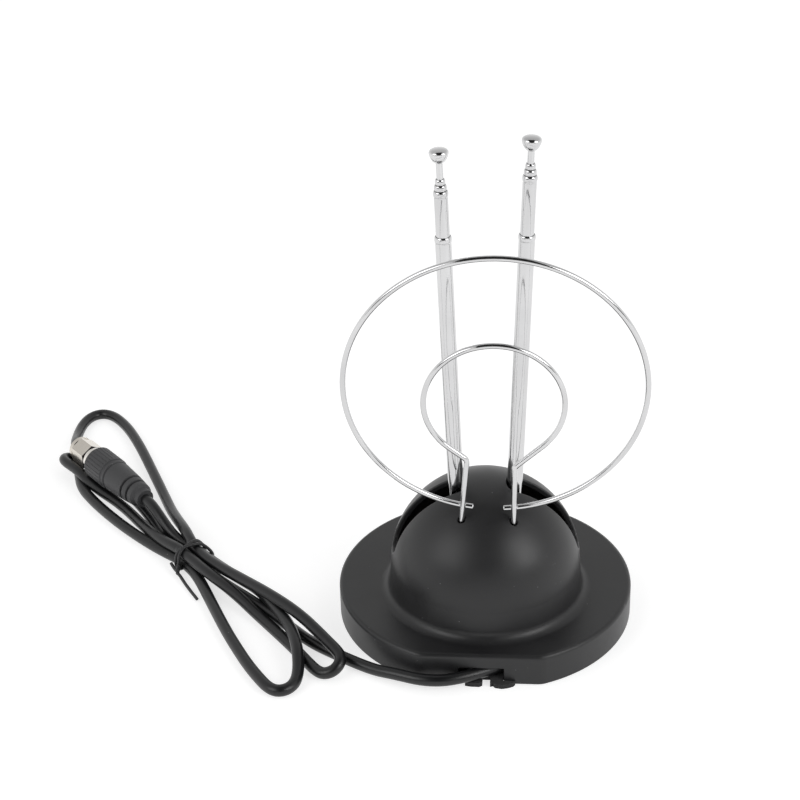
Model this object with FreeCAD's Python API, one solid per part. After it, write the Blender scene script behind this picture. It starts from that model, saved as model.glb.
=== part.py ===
import FreeCAD, Part
import math
import os

# Indoor antenna: slotted dome base, two telescopic ears, double wire loop and a tied coax lead.
# Millimetres. The origin is on the table under the centre of the round base, +Z up, the flat edge faces -Y.

# Base moulding
base_radius = 60.0
flat_depth = 5.0            # how far the flat front edge cuts into the round
flat_turn = -4.5            # degrees the flat edge is turned about the upright
base_height = 13.4
rim_lift = 0.4              # the soft pad holds the rim this far off the table
wall = 2.2
edge_round = 1.6
corner_round = 8.0
dome_radius = 38.5
dome_back = -6.0            # dome centre, along Y
dome_centre_height = 25.5
dome_foot_flare = 0.6
foot_round = 4.0
slot_front = 6.0            # slot's reach in front of the ears' plane
slot_rear = 4.5
slot_low_angle = 80.0       # degrees from the dome's top to the slot's lower end
slot_corner = 3.6
slot_edge_round = 0.5
slot_side_gap = 0.4
notch_left = -8.6           # along the flat edge, from its middle
notch_right = 9.3
notch_height = 7.4

# Underside
pad_thickness = 2.0
ballast_thickness = 2.0
inset_gap = 0.3
plate_relief_left = -16.0   # cut-back of the ballast plate round the cable
plate_relief_right = 27.0
plate_relief_depth = 12.0
tongue_gap = 0.3
tongue_root = 1.0
# Torn edges of the two tongues: place along the flat edge, reach out of it
right_tongue = ((3.9, 1.9), (5.1, 1.5), (5.9, 2.6), (8.5, 3.1), (10.9, 2.5), (12.9, 1.5), (13.7, 0.3))
left_tongue = ((-5.9, 1.6), (-3.7, 2.1), (-0.3, 2.2), (0.9, 1.3))

# Screws
screw_radius = 1.15
screw_head_radius = 2.3
screw_head_height = 1.3
screw_length = 8.0
screw_gap = 0.05
drive_width = 0.6
drive_length = 3.0
drive_depth = 0.7
boss_radius = 3.5
boss_inset = 10.0           # screw bosses, in from the round edge
boss_angles = (35.0, 145.0, 205.0, 335.0)
frame_boss_x = 24.0
frame_boss_y = -16.0

# Ear pivots
ear_plane = dome_back
pivot_x = 10.4
pivot_height = 24.0
ear_lean = 2.05
pivot_radius = 1.5
pivot_gap = 0.05
cheek_thickness = 3.0
cheek_radius = 4.8
knuckle_thickness = 4.05
knuckle_eye_radius = 4.5
knuckle_shoulder = 5.2      # pivot to the shoulder under the first tube
shoulder_height = 0.8
spigot_length = 8.0
washer_thickness = 0.4
washer_radius = 4.0
side_gap = 0.05
tag_thickness = 0.5
tag_drop = 8.0
tag_width = 2.4
nut_width = 5.5
nut_height = 2.4
pan_head_radius = 2.8
pan_head_height = 2.0

# Telescopic rods
rod_diameter = 6.2
tube_wall = 0.4
slide_gap = 0.05
lip_height = 2.2
lip_proud = 0.1
lip_gap = 0.1
lip_chamfer = 0.35
first_tube_top = 146.0      # measured along the rod from the pivot
section_lengths = (132.0, 128.0, 124.0, 122.0)
second_drawn = {"left": 16.0, "right": 21.3}
tip_drawn = {"left": 6.3, "right": 5.0}
tip_radius = 3.7
tip_neck_radius = 1.75
tip_height = 5.5
tip_rim_height = 3.7        # widest place, above the cap's lower end
tip_bowl = (3.1, 1.65)      # radius and height half way up the bowl
tip_rounding = (3.45, 4.55)
tip_shoulder = (2.9, 5.0)   # radius and height where the rounded rim runs into the crown
tip_socket = 3.5

# Wire loop
wire_diameter = 2.2
hole_x = 10.1
hole_y = -25.65
hole_height = 57.0
hole_radius = 1.6
loop_lean = 6.6             # degrees the loop leans towards the flat edge
loop_roll = 2.6             # degrees it leans to the right
loop_turn = -3.9            # degrees it is turned about the upright
outer_loop_radius = 56.9
outer_loop_foot = 4.4       # lowest point above the holes, along the loop's own upright
outer_end_x = 6.3
inner_loop_radius = 26.5
inner_loop_foot = 29.2
leg_top_x = 9.2
leg_depth = 23.0
leg_bend = 2.6
left_leave_angle = 37.5     # where the inner circle runs out straight to its leg
right_leave_angle = 46.5
weld_gap = 0.05

# Loop sockets and inner frame
socket_radius = 2.1
socket_length = 14.0
socket_gap = 0.05
post_radius = 4.0
post_top = 46.0
window_width = 2.6          # slot in a post where the loop's wire leaves its socket
flange_thickness = 3.0
flange_x = 30.0
flange_front = -30.0
flange_back = 28.0
frame_boss_height = 4.0
board_standoff = 2.0
board_thickness = 1.6
board_x = 34.0
board_front = 2.0
board_back = 25.0
board_screw_x = 13.5
board_screw_y = 21.0
core_size = (14.0, 8.0, 7.0)
core_hole = 1.8

# Thin wires inside
hookup_radius = 0.6
tail_radius = 1.1

# Coax lead, hank and plug
cable_diameter = 4.8
cable_rise = 0.05
lead_points = (
    (27.0, -39.0, 6.45),
    (18.0, -43.6, 6.45),
    (6.5, -48.9, 4.6),
    (-14.0, -58.2, 4.7),
    (-26.0, -58.6, 4.8),
    (-38.0, -53.4, 4.0),
)
lead_last_run = 12.0
clip_width = 6.0
clip_wall = 1.6
clip_gap = 0.1
clip_foot = 6.6

tie_x = -127.0
tie_y = 37.0
hank_heading = 127.5        # degrees from +X to the hank's far end
hank_thickness = 4.9
neck_length = 20.0
neck_width = 14.4
neck_low = 0.9
neck_high = 10.2
neck_round = 3.0
lobe_start = 4.0
tie_along = -4.5            # tie's place along the hank's neck
tie_band = 3.0
tie_thickness = 0.7
tie_tail_width = 2.2
tie_tail_thickness = 0.6
tie_knot_radius = 1.3
tie_knot_length = 3.0
tie_knot = (-1.0, 0.2, 3.9)                   # along the hank, out from the band, up from the table
tie_tails = (((-2.0, 3.0, 2.4), (-32.0, 10.5, 1.0)), ((-2.0, 3.0, 3.4), (3.5, 7.5, 1.5)))

plug_offset = -2.0          # across the hank
plug_rear = 37.0            # along the hank, from the tie
plug_tail_run = 9.0         # straight cable behind the boot
boot_length = 42.0
boot_radius = 7.6
boot_body_radius = 7.2
boot_rear_radius = 5.4
boot_nipple_radius = 4.1
boot_nipple = 4.0
boot_nipple_slope = 1.0
grip_length = 14.5
rib_count = 28
rib_depth = 0.22
boot_grooves = (6.5, 10.5, 24.0)
boot_groove_depths = (1.2, 1.2, 0.5)
boot_groove_width = 1.5
boot_groove_slope = 0.3
boot_edge = 0.8
grip_step = 0.4
ferrule_radius = 5.6
ferrule_length = 3.6
ferrule_neck_radius = 4.9
ferrule_insert = 6.0
ferrule_wall = 0.4
retainer_height = 1.0
retainer_lip = 0.5
plug_nut_flats = 11.0
plug_nut_length = 13.0
plug_nut_collar = 2.5
plug_nut_collar_radius = 5.75
plug_thread_radius = 4.45
plug_nut_web = 3.0
plug_nut_gap = 0.08
plug_core_radius = 3.2
plug_pin_radius = 0.5
plug_pin_reach = 2.0
plug_pin_root = 3.0
plug_nut_bevel = 0.7
plug_nut_edge = 0.5

# Values that follow from those above
V = FreeCAD.Vector
Z_AXIS = V(0, 0, 1)
Y_AXIS = V(0, 1, 0)
X_AXIS = V(1, 0, 0)
FAR = 200.0
plate_underside = base_height - wall
base_flat = base_radius - flat_depth
boss_circle = base_radius - boss_inset
outer_loop_centre = outer_loop_foot + outer_loop_radius
inner_loop_centre = inner_loop_foot + inner_loop_radius
ballast_low = pad_thickness
ballast_top = ballast_low + ballast_thickness
flange_top = ballast_top + flange_thickness
board_low = flange_top + board_standoff
board_top = board_low + board_thickness
dome_inner = dome_radius - wall
slot_low = dome_centre_height + dome_radius * math.cos(math.radians(slot_low_angle))
dome_top = dome_centre_height + dome_radius
rod_at_dome_top = pivot_x + (dome_top - pivot_height) * math.tan(math.radians(ear_lean))
slot_inner_x = rod_at_dome_top - rod_diameter / 2 - slot_side_gap
section_step = 2 * (tube_wall + slide_gap)
section_diameters = [rod_diameter - i * section_step for i in range(5)]
knuckle_front = ear_plane - knuckle_thickness / 2
knuckle_back = knuckle_front + knuckle_thickness
front_cheek_back = knuckle_front - side_gap
rear_cheek_front = knuckle_back + washer_thickness + 2 * side_gap
rear_cheek_back = rear_cheek_front + cheek_thickness
tag_front = rear_cheek_back + side_gap
tag_back = tag_front + tag_thickness
plug_height = hank_thickness + boot_radius + cable_rise
cable_radius = cable_diameter / 2
SIDES = {"left": -1, "right": 1}

os.makedirs("parts", exist_ok=True)


def save(node, shape):
    shape.exportStep("parts/%s.step" % node)


def block(low, high):
    return Part.makeBox(high[0] - low[0], high[1] - low[1], high[2] - low[2], V(*low))


def rod(radius, start, direction, length):
    return Part.makeCylinder(radius, length, start, direction)


def turned(profile):
    # Profile points (radius, height) revolved about Z
    points = [V(r, 0, z) for r, z in profile]
    points.append(points[0])
    return Part.Face(Part.makePolygon(points)).revolve(V(0, 0, 0), Z_AXIS, 360)


def prism(points, low, high):
    loop = [V(x, y, low) for x, y in points]
    loop.append(loop[0])
    return Part.Face(Part.makePolygon(loop)).extrude(V(0, 0, high - low))


def hexagon(flats, low, high):
    corner = flats / math.sqrt(3)
    points = []
    for i in range(6):
        angle = math.radians(60 * i)
        points.append((corner * math.cos(angle), corner * math.sin(angle)))
    return prism(points, low, high)


def placed(shape, base, rotation=None):
    moved = shape.copy()
    moved.Placement = FreeCAD.Placement(base, rotation or FreeCAD.Rotation()).multiply(moved.Placement)
    return moved


def rounded_edges(points, radius=None):
    # Straight runs joined by tangent arcs. With no radius given, each arc is as large as its runs allow.
    edges = []
    radii = []
    last = points[0]
    for before, corner, after in zip(points, points[1:], points[2:]):
        run_in = (corner - before)
        run_out = (after - corner)
        turn = run_in.getAngle(run_out)
        short = min(run_in.Length, run_out.Length)
        bend = radius or 0.45 * short / math.tan(turn / 2)
        trim = bend * math.tan(turn / 2)
        way_in = V(run_in).normalize()
        way_out = V(run_out).normalize()
        start = corner - way_in * trim
        end = corner + way_out * trim
        inward = (way_out - way_in).normalize()
        middle = corner + inward * (bend / math.cos(turn / 2) - bend)
        edges.append(Part.LineSegment(last, start).toShape())
        edges.append(Part.Arc(start, middle, end).toShape())
        radii.append(bend)
        last = end
    edges.append(Part.LineSegment(last, points[-1]).toShape())
    return edges, radii


def swept(edges, radius):
    path = Part.Wire(edges)
    first = edges[0]
    start = first.valueAt(first.FirstParameter)
    profile = Part.Wire([Part.Circle(start, first.tangentAt(first.FirstParameter), radius).toShape()])
    return path.makePipeShell([profile], True, False)


def bent_wire(points, radius, bend):
    edges, radii = rounded_edges([V(*p) for p in points], bend)
    return swept(edges, radius)


def at_flat(shape):
    # Shapes drawn square to the flat edge, turned to where it lies
    return placed(shape, V(0, 0, 0), FreeCAD.Rotation(Z_AXIS, flat_turn))


def base_outline(inset):
    # The round plate with its flat chord and eased corners, as a solid of the given inset
    disc = Part.makeCylinder(base_radius - inset, base_height - rim_lift, V(0, 0, rim_lift))
    chord = block((-FAR, -FAR, -FAR), (FAR, inset - base_flat, FAR))
    plate = disc.cut(chord)
    uprights = [e for e in plate.Edges if abs(e.tangentAt(e.FirstParameter).z) > 0.99 and e.Vertexes[0].Y < 0]
    corners = [e for e in uprights if abs(e.Vertexes[0].Y + base_flat - inset) < 0.01]
    return at_flat(plate.makeFillet(corner_round, corners))


def dome_solid(radius, foot, flare, fillet):
    # A hemisphere on a short flared collar with a concave fillet where it meets the plate
    top = V(0, 0, dome_centre_height + radius)
    equator = V(radius, 0, dome_centre_height)
    shoulder = V(radius * math.sqrt(0.5), 0, dome_centre_height + radius * math.sqrt(0.5))
    collar = V(radius + flare, 0, foot + fillet)
    edges = [Part.Arc(top, shoulder, equator).toShape(), Part.LineSegment(equator, collar).toShape()]
    last = collar
    if fillet:
        turn_in = fillet * (1 - math.sqrt(0.5))
        middle = V(radius + flare + turn_in, 0, foot + turn_in)
        last = V(radius + flare + fillet, 0, foot)
        edges.append(Part.Arc(collar, middle, last).toShape())
    low = V(last.x, 0, foot - wall / 2)
    axis_low = V(0, 0, foot - wall / 2)
    edges.append(Part.LineSegment(last, low).toShape())
    edges.append(Part.LineSegment(low, axis_low).toShape())
    edges.append(Part.LineSegment(axis_low, top).toShape())
    solid = Part.Face(Part.Wire(edges)).revolve(V(0, 0, 0), Z_AXIS, 360)
    return placed(solid, V(0, dome_back, 0))


def loop_placement():
    turn = FreeCAD.Rotation(Z_AXIS, loop_turn)
    lean = FreeCAD.Rotation(X_AXIS, loop_lean)
    roll = FreeCAD.Rotation(Y_AXIS, loop_roll)
    return FreeCAD.Placement(V(0, hole_y, hole_height), turn.multiply(lean.multiply(roll)))


def leg_line(sign):
    # Start and unit direction of a leg's centreline, measured from its hole upwards
    place = loop_placement()
    corner_height = leg_corner(sign)
    foot = place.multVec(V(sign * hole_x, 0, 0))
    head = place.multVec(V(sign * leg_top_x, 0, corner_height))
    return foot, (head - foot).normalize()


def leg_corner(sign):
    angle = math.radians(left_leave_angle if sign < 0 else right_leave_angle)
    return inner_loop_centre - inner_loop_radius / math.cos(angle) + leg_top_x * math.tan(angle)


def screw_boss_points():
    spots = []
    for angle in boss_angles:
        turn = math.radians(angle)
        spots.append((boss_circle * math.cos(turn), boss_circle * math.sin(turn)))
    return spots


def frame_boss_points():
    return [(-frame_boss_x, frame_boss_y), (frame_boss_x, frame_boss_y)]


def make_base_shell():
    plate = base_outline(0)
    rim_top = [e for e in plate.Edges if all(abs(v.Z - base_height) < 0.01 for v in e.Vertexes)]
    plate = plate.makeFillet(edge_round, rim_top)
    shell = plate.fuse(dome_solid(dome_radius, base_height, dome_foot_flare, foot_round))
    hollow = base_outline(wall)
    hollow = hollow.common(block((-FAR, -FAR, -1), (FAR, FAR, plate_underside)))
    pocket = Part.makeCylinder(dome_inner, dome_centre_height, V(0, dome_back, 0))
    pocket = pocket.fuse(Part.makeSphere(dome_inner, V(0, dome_back, dome_centre_height)))
    shell = shell.cut(hollow.fuse(pocket))
    for sign in SIDES.values():
        low = (slot_inner_x, ear_plane - slot_front, slot_low)
        slot = block(low, (FAR / 2, ear_plane + slot_rear, FAR / 2))
        ends = [e for e in slot.Edges if slot_end_edge(e)]
        slot = slot.makeFillet(slot_corner, ends)
        if sign < 0:
            slot = slot.mirror(V(0, 0, 0), X_AXIS)
        shell = shell.cut(slot)
        foot, way = leg_line(sign)
        shell = shell.cut(rod(hole_radius, foot - way * wall * 4, way, wall * 8))
    notch = block((notch_left, -FAR, -FAR), (notch_right, wall - base_flat + 1, notch_height))
    shell = shell.cut(at_flat(notch))
    shell = shell.makeFillet(slot_edge_round, [e for e in shell.Edges if slot_rim_edge(e)])
    for x, y in screw_boss_points():
        height = plate_underside - ballast_top + wall / 2
        boss = Part.makeCylinder(boss_radius, height, V(x, y, ballast_top))
        pilot = Part.makeCylinder(screw_radius + screw_gap, height, V(x, y, ballast_top - 1))
        shell = shell.fuse(boss).cut(pilot)
    save("base_shell", shell.removeSplitter())


def slot_end_edge(edge):
    # Long edges of the slot cutter that become its two rounded ends
    way = edge.tangentAt(edge.FirstParameter)
    spot = edge.CenterOfMass
    upright_inner = abs(way.z) > 0.99 and abs(spot.x - slot_inner_x) < 0.01
    level_low = abs(way.x) > 0.99 and abs(spot.z - slot_low) < 0.01
    return upright_inner or level_low


def slot_rim_edge(edge):
    # Edges of the two slots that lie on the dome's outer face
    middle = edge.valueAt((edge.FirstParameter + edge.LastParameter) / 2)
    reach = (middle - V(0, dome_back, dome_centre_height)).Length
    ahead = ear_plane - middle.y
    inside_slot = -slot_rear - 0.01 < ahead < slot_front + 0.01 and abs(middle.x) > slot_inner_x - 0.01
    return abs(reach - dome_radius) < 0.01 and inside_slot and middle.z > slot_low - 0.01


def countersunk(x, y):
    head = Part.makeCone(screw_head_radius, screw_radius, screw_head_height, V(x, y, ballast_low))
    shank = Part.makeCylinder(screw_radius, screw_length, V(x, y, ballast_low))
    drive = []
    for half_x, half_y in ((drive_width / 2, drive_length / 2), (drive_length / 2, drive_width / 2)):
        low = (x - half_x, y - half_y, ballast_low)
        drive.append(block(low, (x + half_x, y + half_y, ballast_low + drive_depth)))
    return head.fuse(shank).cut(drive[0].fuse(drive[1]))


def make_underside():
    outline = base_outline(wall + inset_gap)
    level = outline.BoundBox.ZMin
    ballast = placed(outline, V(0, 0, ballast_low - level))
    ballast = ballast.common(block((-FAR, -FAR, ballast_low), (FAR, FAR, ballast_top)))
    front = wall + inset_gap - base_flat
    relief = block((plate_relief_left, -FAR, 0), (plate_relief_right, front + plate_relief_depth, FAR))
    ballast = ballast.cut(at_flat(relief))
    spots = screw_boss_points() + frame_boss_points()
    for x, y in spots:
        bore = Part.makeCylinder(screw_radius + screw_gap, FAR, V(x, y, 0))
        seat = Part.makeCone(screw_head_radius, screw_radius, screw_head_height, V(x, y, ballast_low))
        ballast = ballast.cut(bore.fuse(seat))
    save("ballast_plate", ballast)
    save("plate_screws", Part.makeCompound([countersunk(x, y) for x, y in spots]))

    pad = placed(outline, V(0, 0, -level))
    pad = pad.common(block((-FAR, -FAR, 0), (FAR, FAR, pad_thickness)))
    root = front + tongue_root
    corner = (notch_right - tongue_gap, -base_flat - tongue_gap)
    right_end = [corner, (corner[0], root)]
    left_end = [(left_tongue[-1][0], root)]
    for torn_edge, last in ((right_tongue, right_end), (left_tongue, left_end)):
        outline = [(torn_edge[0][0], root)]
        outline += [(x, -base_flat - reach) for x, reach in torn_edge]
        pad = pad.fuse(at_flat(prism(outline + last, 0, pad_thickness)))
    save("bottom_pad", pad.removeSplitter())


def make_inner_frame():
    frame = block((-flange_x, flange_front, ballast_top), (flange_x, flange_back, flange_top))
    corners = [e for e in frame.Edges if abs(e.tangentAt(e.FirstParameter).z) > 0.99]
    frame = frame.makeFillet(corner_round, corners)
    cheeks = ((front_cheek_back - cheek_thickness, front_cheek_back), (rear_cheek_front, rear_cheek_back))
    for sign in SIDES.values():
        x = sign * pivot_x
        for low_y, high_y in cheeks:
            web = block((x - cheek_radius, low_y, flange_top), (x + cheek_radius, high_y, pivot_height))
            eye = rod(cheek_radius, V(x, low_y, pivot_height), Y_AXIS, high_y - low_y)
            bore = rod(pivot_radius + pivot_gap, V(x, low_y - 1, pivot_height), Y_AXIS, high_y - low_y + 2)
            frame = frame.fuse(web.fuse(eye)).cut(bore)
        foot, way = leg_line(sign)
        seat = socket_foot(foot, way)
        post_x = seat.x + way.x * socket_length / 2
        post_y = seat.y + way.y * socket_length / 2
        post = Part.makeCylinder(post_radius, post_top - flange_top, V(post_x, post_y, flange_top))
        bore = rod(socket_radius + socket_gap, seat, way, FAR)
        window = block((seat.x - window_width / 2, post_y, seat.z - window_width),
                       (seat.x + window_width / 2, post_y + post_radius, seat.z + window_width / 2))
        well = rod(window_width / 2, V(seat.x, seat.y, seat.z - window_width), Z_AXIS, window_width * 1.5)
        frame = frame.fuse(post).cut(bore.fuse([window, well]))
    for x, y in frame_boss_points():
        boss = Part.makeCylinder(boss_radius, frame_boss_height, V(x, y, flange_top))
        pilot = Part.makeCylinder(screw_radius + screw_gap, FAR / 20, V(x, y, ballast_low))
        frame = frame.fuse(boss).cut(pilot)
    for sign in SIDES.values():
        x = sign * board_screw_x
        standoff = Part.makeCylinder(boss_radius, board_standoff, V(x, board_screw_y, flange_top))
        pilot = Part.makeCylinder(screw_radius + screw_gap, FAR, V(x, board_screw_y, ballast_top + 0.5))
        frame = frame.fuse(standoff).cut(pilot)
    save("inner_frame", frame.removeSplitter())


def socket_foot(foot, way):
    # Lower end of a loop socket on the leg's own line
    return foot - way * leg_depth


def make_loop_sockets():
    for side, sign in SIDES.items():
        foot, way = leg_line(sign)
        start = socket_foot(foot, way)
        sleeve = rod(socket_radius, start, way, socket_length)
        bore = rod(wire_diameter / 2 + socket_gap, start + way, way, socket_length)
        save("%s_loop_socket" % side, sleeve.cut(bore))


def make_loops():
    place = loop_placement()
    centre = V(0, 0, inner_loop_centre)
    legs = {}
    for sign in (-1, 1):
        angle = math.radians(left_leave_angle if sign < 0 else right_leave_angle)
        leave = centre + V(sign * inner_loop_radius * math.sin(angle), 0, -inner_loop_radius * math.cos(angle))
        head = V(sign * leg_top_x, 0, leg_corner(sign))
        hole = V(sign * hole_x, 0, 0)
        foot = hole - (head - hole).normalize() * (leg_depth - 1)
        legs[sign] = (foot, head, leave)
    left_edges, radii = rounded_edges(list(legs[-1]), leg_bend)
    right_edges, radii = rounded_edges(list(reversed(legs[1])), leg_bend)
    top = centre + V(0, 0, inner_loop_radius)
    bow = Part.Arc(legs[-1][2], top, legs[1][2]).toShape()
    inner = swept(left_edges + [bow] + right_edges, wire_diameter / 2)
    inner.Placement = place
    save("inner_loop", inner)

    behind = wire_diameter + weld_gap
    centre = V(0, behind, outer_loop_centre)
    drop = math.sqrt(outer_loop_radius ** 2 - outer_end_x ** 2)
    ends = [centre + V(sign * outer_end_x, 0, -drop) for sign in (-1, 1)]
    ring = Part.Arc(ends[0], centre + V(0, 0, outer_loop_radius), ends[1]).toShape()
    outer = swept([ring], wire_diameter / 2)
    outer.Placement = place
    save("outer_loop", outer)


def tube_section(outer, low, top):
    # A drawn tube with a rolled lip at its upper end
    radius = outer / 2
    bore = radius - tube_wall
    lip = radius + lip_proud
    lip_low = top - lip_height
    return turned((
        (bore, low), (radius, low), (radius, lip_low), (lip, lip_low + lip_proud),
        (lip, top - lip_chamfer), (lip - lip_chamfer, top), (bore, top)))


def tip_cap(low):
    # A bowl on a short neck, with a rounded rim and a low crown
    rim = V(tip_radius, 0, low + tip_rim_height)
    shoulder = V(tip_shoulder[0], 0, low + tip_shoulder[1])
    top = V(0, 0, low + tip_height)
    neck = V(tip_neck_radius, 0, low)
    bowl = V(tip_bowl[0], 0, low + tip_bowl[1])
    rounding = V(tip_rounding[0], 0, low + tip_rounding[1])
    crown_rise = top.z - shoulder.z
    crown_radius = (tip_shoulder[0] ** 2 + crown_rise ** 2) / (2 * crown_rise)
    half_way = math.asin(tip_shoulder[0] / crown_radius) / 2
    crown = top + V(math.sin(half_way), 0, math.cos(half_way) - 1) * crown_radius
    edges = [Part.Arc(neck, bowl, rim).toShape(), Part.Arc(rim, rounding, shoulder).toShape(),
             Part.Arc(shoulder, crown, top).toShape()]
    bore = section_diameters[4] / 2 + slide_gap
    corners = [top, V(0, 0, low + tip_socket), V(bore, 0, low + tip_socket), V(bore, 0, low), neck]
    for a, b in zip(corners, corners[1:]):
        edges.append(Part.LineSegment(a, b).toShape())
    return Part.Face(Part.Wire(edges)).revolve(V(0, 0, 0), Z_AXIS, 360)


def knuckle():
    eye = rod(knuckle_eye_radius, V(0, -knuckle_thickness / 2, 0), Y_AXIS, knuckle_thickness)
    neck_half = rod_diameter / 2
    neck = block((-neck_half, -knuckle_thickness / 2, 0), (neck_half, knuckle_thickness / 2, knuckle_shoulder))
    shoulder = Part.makeCylinder(rod_diameter / 2, shoulder_height, V(0, 0, knuckle_shoulder))
    spigot_radius = rod_diameter / 2 - tube_wall - slide_gap
    spigot = Part.makeCylinder(spigot_radius, spigot_length, V(0, 0, knuckle_shoulder + shoulder_height))
    bore = rod(pivot_radius + pivot_gap, V(0, -FAR / 2, 0), Y_AXIS, FAR)
    return eye.fuse([neck, shoulder, spigot]).removeSplitter().cut(bore)


def make_ear(side, sign):
    pivot = V(sign * pivot_x, ear_plane, pivot_height)
    lean = FreeCAD.Rotation(Y_AXIS, sign * ear_lean)
    pieces = {"ear_knuckle": knuckle()}
    tops = [first_tube_top, first_tube_top + lip_height + second_drawn[side]]
    tops.append(tops[1] + lip_height + lip_gap)
    tops.append(tops[2] + lip_height + lip_gap)
    lows = [knuckle_shoulder + shoulder_height]
    for top, length in zip(tops[1:], section_lengths):
        lows.append(top - length)
    for number, (low, top) in enumerate(zip(lows, tops)):
        pieces["rod_section_%d" % (number + 1)] = tube_section(section_diameters[number], low, top)
    cap_low = tops[3] + tip_drawn[side]
    tip_rod_top = cap_low + tip_socket
    tip_rod_low = cap_low - section_lengths[3]
    tip_rod = Part.makeCylinder(section_diameters[4] / 2, tip_rod_top - tip_rod_low, V(0, 0, tip_rod_low))
    pieces["rod_section_5"] = tip_rod
    pieces["rod_tip"] = tip_cap(cap_low)
    for name, shape in pieces.items():
        save("%s_%s" % (side, name), placed(shape, pivot, lean))


def make_pivot_hardware(side, sign):
    x = sign * pivot_x
    head_front = front_cheek_back - cheek_thickness - pan_head_height
    nut_back = tag_back + nut_height
    head = rod(pan_head_radius, V(x, head_front, pivot_height), Y_AXIS, pan_head_height)
    shank = rod(pivot_radius, V(x, head_front, pivot_height), Y_AXIS, nut_back + 1 - head_front)
    drive = block((x - pan_head_radius, head_front, pivot_height - drive_width / 2),
                  (x + pan_head_radius, head_front + drive_depth, pivot_height + drive_width / 2))
    save("%s_pivot_screw" % side, head.fuse(shank).cut(drive))

    ring = rod(washer_radius, V(x, knuckle_back + side_gap, pivot_height), Y_AXIS, washer_thickness)
    bore = rod(pivot_radius + pivot_gap, V(x, -FAR / 2, pivot_height), Y_AXIS, FAR)
    save("%s_friction_washer" % side, ring.cut(bore))

    eye = rod(pan_head_radius, V(x, tag_front, pivot_height), Y_AXIS, tag_thickness)
    tongue = block((x - tag_width / 2, tag_front, pivot_height - tag_drop),
                   (x + tag_width / 2, tag_back, pivot_height))
    save("%s_solder_tag" % side, eye.fuse(tongue).removeSplitter().cut(bore))

    nut = placed(hexagon(nut_width, 0, nut_height), V(x, tag_back, pivot_height),
                 FreeCAD.Rotation(X_AXIS, -90))
    save("%s_pivot_nut" % side, nut.cut(bore))


def make_board():
    board = block((-board_x / 2, board_front, board_low), (board_x / 2, board_back, board_top))
    screws = []
    for sign in SIDES.values():
        x = sign * board_screw_x
        board = board.cut(Part.makeCylinder(screw_radius + screw_gap, FAR, V(x, board_screw_y, 0)))
        head = Part.makeCylinder(screw_head_radius, screw_head_height, V(x, board_screw_y, board_top))
        depth = board_top - ballast_top - 1
        shank = Part.makeCylinder(screw_radius, depth, V(x, board_screw_y, board_top - depth))
        screws.append(head.fuse(shank).removeSplitter())
    save("balun_board", board)
    save("board_screws", Part.makeCompound(screws))
    length, depth, height = core_size
    middle = (board_front + board_back) / 2
    core = block((-length / 2, middle - depth / 2, board_top),
                 (length / 2, middle + depth / 2, board_top + height))
    ends = [e for e in core.Edges if abs(e.tangentAt(e.FirstParameter).y) > 0.99]
    core = core.makeFillet(height * 0.4, ends)
    for sign in SIDES.values():
        hole = rod(core_hole, V(sign * length / 4, middle - depth, board_top + height / 2), Y_AXIS, depth * 2)
        core = core.cut(hole)
    save("balun_core", core)


def make_hookup_wires():
    for side, sign in SIDES.items():
        tag_low = pivot_height - tag_drop
        start_y = tag_back + hookup_radius
        ear = ((sign * pivot_x, start_y, tag_low + 1.5), (sign * pivot_x, start_y, tag_low - 2.0),
               (sign * (pivot_x - 1.5), board_front + 3.0, board_top + hookup_radius),
               (sign * (pivot_x - 2.0), board_front + 6.0, board_top + hookup_radius))
        save("%s_ear_wire" % side, bent_wire(ear, hookup_radius, 1.2))
        foot, way = leg_line(sign)
        seat = socket_foot(foot, way)
        outside = sign * (pivot_x + cheek_radius + 3.0)
        under = seat.z - hookup_radius - slide_gap
        past_post = seat.y + post_radius + 1.0
        loop = ((seat.x, seat.y, under), (seat.x, past_post, under),
                (outside, past_post, under - post_radius), (outside, past_post + 3.0, flange_top + 4.0),
                (outside, board_front, board_top + hookup_radius),
                (outside - sign * 4.0, board_front + 5.0, board_top + hookup_radius))
        save("%s_loop_wire" % side, bent_wire(loop, hookup_radius, 1.5))
    end = V(*lead_points[0])
    straight_on = end + (end - V(*lead_points[1])).normalize() * 8.0
    tail = ((end.x, end.y, end.z), (straight_on.x, straight_on.y, straight_on.z),
            (flange_x + 5.0, -14.0, end.z - 0.5), (flange_x + 3.5, 4.0, board_top - 1.5),
            (board_x / 2 + 6.0, board_front + 9.0, board_top + tail_radius),
            (board_x / 2 - 3.0, board_front + 10.0, board_top + tail_radius))
    save("coax_tail", bent_wire(tail, tail_radius, 3.0))


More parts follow.
